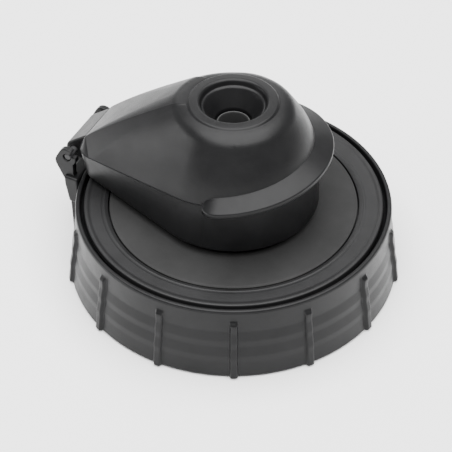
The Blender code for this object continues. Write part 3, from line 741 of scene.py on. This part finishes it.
def pocket_profile():
    """Hollow between the dome and the inner cone, then the seal's holder, as (radius, height, rounding)."""
    holder = SPIGOT_RADIUS + WALL
    holder_foot = SEAL_SEAT - 1.3
    return [
        (NOZZLE_RADIUS + WALL, NOZZLE_TOP - 2 * WALL, 0.5),
        (NOZZLE_RADIUS - WALL, NOZZLE_TOP - 2.8 * WALL, 0.5),
        (SLEEVE_FLANGE + WALL, SLEEVE_FLANGE_TOP, 0.4),
        (holder + WALL, SEAL_SEAT + WALL, 0.4),
        (holder + WALL, holder_foot, 0.2),
        (holder, holder_foot, 0.2),
        (holder, SEAL_SEAT, 0.15),
    ]


def dome_path(top, foot, bearing):
    """The dome's line from the nozzle's edge to its foot, as a function of distance, and its length."""
    length = (foot - top).length
    along = (foot - top).normalized()
    outward = along.cross(Vector((-math.sin(bearing), math.cos(bearing), 0.0))).normalized()
    tail = smooth(bearing, math.radians(90.0), TAIL_ANGLE)
    bulge = DOME_BULGE + (TAIL_BULGE - DOME_BULGE) * tail

    def at(distance):
        growth = 1 - (1 - min(1.0, distance / SHOULDER)) ** 2
        decay = 1 - max(0.0, (distance - SHOULDER) / (length - SHOULDER)) ** 3
        return top + along * distance + outward * (bulge * growth * decay)

    return at, length


def dome_end(part, foot):
    """Where the dome's line ends: at the crease or, over the tail, at the dome's top edge."""
    if part == "corner":
        return DOME_END.copy()
    if part == "end":
        return Vector((DOME_END.x, DOME_END.y * foot.y / CREASE_CORNER[1], DOME_END.z))
    return foot


def dome_section(part, foot, angle, bearing, top):
    """Points over the dome, each with its rounding, and the dome's foot, which the lip moves up the line."""
    end = dome_end(part, foot)
    path, length = dome_path(top, end, bearing)
    reach = lip_reach(part, angle)
    if reach > 0.0:
        rise = LIP_ROOT_HEIGHT + LIP_ROOT_SLOPE * foot.x - foot.z
        length -= rise * reach * (end - top).length / (top.z - end.z)
        foot = path(length)
        end = foot
    distances = [SHOULDER * share for share in SHOULDER_SHARES]
    distances += [SHOULDER + (length - SHOULDER) * step / DOME_STEPS for step in range(1, DOME_STEPS)]
    section = [(path(distance), 0.0) for distance in distances]
    section.append((end, 0.5 if part in ("corner", "end") else 0.0))
    return section, foot


def lip_section(part, foot, angle):
    """The crease with its fine ridge, or the thumb lip where it stands out of the crease."""
    reach = lip_reach(part, angle)
    if reach == 0.0:
        ridge = foot + Vector((CREASE_RIDGE * math.cos(angle), CREASE_RIDGE * math.sin(angle), -0.1))
        return [(foot, 0.08), (ridge, 0.06), (foot - Vector((0.0, 0.0, 0.34)), 0.1)]
    outer = polar(CREASE_RADIUS + (LIP_RADIUS - CREASE_RADIUS) * reach, angle, 0.0)
    crease = crease_height(outer.x)
    outer.z = crease + (LIP_HEIGHT + LIP_SLOPE * outer.x - crease) * reach
    under = outer - Vector((0.0, 0.0, LIP_THICKNESS))
    root = polar(CREASE_RADIUS + GAP, angle, foot.z - LIP_THICKNESS * (1 + reach))
    return [(outer, 0.3), (under, 0.3), (root, 0.5)]


def skirt_section(skirt, inner_skirt, inner_crease):
    """The skirt's lower edge and its inside, up to under the crease, from entries of three outlines."""
    return [
        (Vector((skirt[1], skirt[2], SKIRT_BOTTOM)), 0.35),
        (Vector((inner_skirt[1], inner_skirt[2], SKIRT_BOTTOM)), 0.2),
        (Vector((inner_crease[1], inner_crease[2], crease_height(inner_crease[1]))), 1.0),
    ]


def cover_column(crease, skirt, inner_skirt, inner_crease):
    """Closed section of the cover: outlet, nozzle, dome, lip or crease, skirt and the hollow inside."""
    part, x, y, angle, bearing = crease
    section = [(polar(radius, bearing, height), rounding) for radius, height, rounding in nozzle_profile()]
    nozzle_edge = section[-1][0]
    dome, foot = dome_section(part, Vector((x, y, crease_height(x))), angle, bearing, nozzle_edge)
    section += dome
    section += lip_section(part, foot, angle)
    section += skirt_section(skirt, inner_skirt, inner_crease)
    section += [(polar(radius, bearing, height), rounding) for radius, height, rounding in pocket_profile()]
    rounded = fillet([point for point, _ in section], [rounding for _, rounding in section])
    return [tuple(point) for point in rounded]


def cover_shell(material):
    outlines = [
        outline_columns(CREASE_RADIUS, CREASE_CORNER),
        outline_columns(SKIRT_RADIUS, SKIRT_CORNER),
        outline_columns(SKIRT_RADIUS - WALL, inside(SKIRT_CORNER)),
        outline_columns(CREASE_RADIUS - WALL, inside(CREASE_CORNER)),
    ]
    half = [cover_column(*entries) for entries in zip(*outlines)]
    other = [[(x, -y, z) for x, y, z in column] for column in reversed(half[1:-1])]
    return even_shading(closed_surface("cover_shell", half + other, material), 50.0)


def cover_knuckle(material):
    """Barrel round the pin; its top runs straight up to the end of the dome."""
    run = DOME_END.x - HINGE.x
    rise = DOME_END.z - HINGE.z
    start = math.degrees(math.atan2(rise, run) + math.acos(KNUCKLE_RADIUS / math.hypot(run, rise)))
    outline = arc((HINGE.x, HINGE.z), KNUCKLE_RADIUS, start, 280.0, 22)
    outline.append((DOME_END.x, HINGE.z - KNUCKLE_RADIUS))
    outline.append((DOME_END.x + 0.1, DOME_END.z - 0.6))
    outline.append((DOME_END.x, DOME_END.z - 0.05))
    return slab("cover_knuckle", outline, -KNUCKLE_HALF_WIDTH, KNUCKLE_HALF_WIDTH, material, edge=0.3)


def seal_ring(material):
    heights = (SEAL_LOW, SEAL_LOW + SEAL_HEIGHT)
    groove = (9.8, 0.4, 0.2, 0.15)
    return grooved_ring("seal_ring", (SEAL_INNER, SEAL_OUTER), heights, 0.25, groove, material, SMALL_SIDES)


def sleeve_tube(material):
    """Soft lining of the outlet, held by its flange."""
    flange_low = SLEEVE_FLANGE_TOP - SLEEVE_FLANGE_THICKNESS
    outer = OUTLET_SEAT - GAP
    edge = 0.25
    profile = [
        (SLEEVE_BORE, flange_low, edge),
        (SLEEVE_BORE, SLEEVE_TOP - edge, 0.3),
        (SLEEVE_BORE + 0.12, SLEEVE_TOP, 0.12),
        (outer, SLEEVE_TOP - edge, 0.15),
        (outer, SLEEVE_FLANGE_TOP, 0.15),
        (SLEEVE_FLANGE, SLEEVE_FLANGE_TOP, 0.2),
        (SLEEVE_FLANGE, flange_low, edge),
    ]
    return turned("sleeve_tube", profile, material, SMALL_SIDES)


# ---------------------------------------------------------------- stage

def soft_light(name, place, target, size, power):
    data = bpy.data.lights.new(name, "AREA")
    data.shape = "RECTANGLE"
    data.size = size[0]
    data.size_y = size[1]
    data.energy = power
    lamp = bpy.data.objects.new(name, data)
    lamp.location = place
    lamp.rotation_euler = (Vector(target) - Vector(place)).to_track_quat("-Z", "Y").to_euler()
    bpy.context.collection.objects.link(lamp)


def floor():
    mesh = bpy.data.meshes.new("floor")
    corners = [(x * FLOOR_HALF, y * FLOOR_HALF, 0.0) for x, y in ((-1, -1), (1, -1), (1, 1), (-1, 1))]
    mesh.from_pydata(corners, [], [(0, 1, 2, 3)])
    mesh.materials.append(floor_material())
    item = bpy.data.objects.new("floor", mesh)
    item.location = (0.0, 0.0, -FLOOR_DROP)
    bpy.context.collection.objects.link(item)


def world():
    made = bpy.data.worlds.new("studio")
    made.use_nodes = True
    back = made.node_tree.nodes["Background"]
    back.inputs["Color"].default_value = (1.0, 1.0, 1.0, 1.0)
    back.inputs["Strength"].default_value = WORLD_STRENGTH
    bpy.context.scene.world = made


def camera():
    """A long lens that looks down at the cap, a little from its free end."""
    heading = math.radians(CAMERA_HEADING)
    tilt = math.radians(CAMERA_TILT)
    roll = math.radians(CAMERA_ROLL)
    level = math.cos(tilt)
    forward = Vector((math.cos(heading) * level, math.sin(heading) * level, math.sin(tilt)))
    side = Vector((math.sin(heading), -math.cos(heading), 0.0))
    up = side.cross(forward)
    side = side * math.cos(roll) + up * math.sin(roll)
    up = side.cross(forward)
    data = bpy.data.cameras.new("camera")
    data.sensor_width = 36.0
    data.lens = CAMERA_LENS
    data.clip_start = 0.01
    item = bpy.data.objects.new("camera", data)
    turn = Matrix((side, up, -forward)).transposed().to_4x4()
    item.matrix_world = Matrix.Translation(CAMERA_PLACE) @ turn
    bpy.context.collection.objects.link(item)
    bpy.context.scene.camera = item


def stand_for(pieces, body, node):
    """Let pieces take the place of a CAD node, on its body."""
    for piece in pieces:
        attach(piece, body)
    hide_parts(node)


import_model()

# name, darkest and lightest colour, roughness, strength and scale of the grain, specular level
black = plastic("satin_black", (0.005, 0.005, 0.0053), (0.009, 0.009, 0.0094), 0.34, 0.35, 9000.0, 0.16)
deck = plastic("deck_black", (0.010, 0.010, 0.0103), (0.015, 0.015, 0.0155), 0.4, 0.35, 9000.0, 0.18)
pad = plastic("pad_rubber", (0.018, 0.018, 0.018), (0.024, 0.024, 0.024), 0.62, 0.6, 6000.0, 0.12)
# the pin's grey is lighter than the black plastic around it: painted highlight for the light that the pin
# stub catches
pin = plastic("pin_black_painted_highlight", (0.03, 0.03, 0.031), (0.045, 0.045, 0.046), 0.3, 0.2, 9000.0, 0.16)
seal = plastic("seal_silicone", (0.13, 0.13, 0.135), (0.18, 0.18, 0.185), 0.55, 0.5, 6000.0, 0.16)
# the sleeve's own dark tone is lifted to a lighter grey: painted light standing in for the light on the
# nozzle's funnel
sleeve = plastic("sleeve_silicone", (0.03, 0.03, 0.03), (0.045, 0.045, 0.045), 0.4, 0.4, 6000.0, 0.3)

collar_pieces = [collar_shell(black), thread_ridge(black)] + collar_ears(black)
stand_for(collar_pieces, "collar", "screw_collar")
stand_for([hinge_pin(pin)], "collar", "hinge_pin")
stand_for([deck_disc(deck)], "deck", "deck_plate")
stand_for([pad_ring(pad)], "deck", "deck_pad")
stand_for([gasket_ring(seal)], "deck", "neck_gasket")
stand_for([valve_body(seal)], "deck", "vent_valve")
stand_for([cover_shell(black), cover_knuckle(black)], "cover", "pour_cover")
stand_for([seal_ring(seal)], "cover", "cover_seal")
stand_for([sleeve_tube(sleeve)], "cover", "outlet_sleeve")

floor()
world()
soft_light("left_softbox", (-0.8, -0.35, 0.12), (0.0, 0.0, 0.01), (0.5, 0.2), 2.0)
soft_light("back_softbox", (-0.5, 0.85, 0.5), (0.0, 0.0, 0.02), (0.9, 0.4), 3.0)
soft_light("top_softbox", (0.05, -0.05, 1.2), (0.0, 0.0, 0.0), (1.7, 1.7), 75.0)
camera()
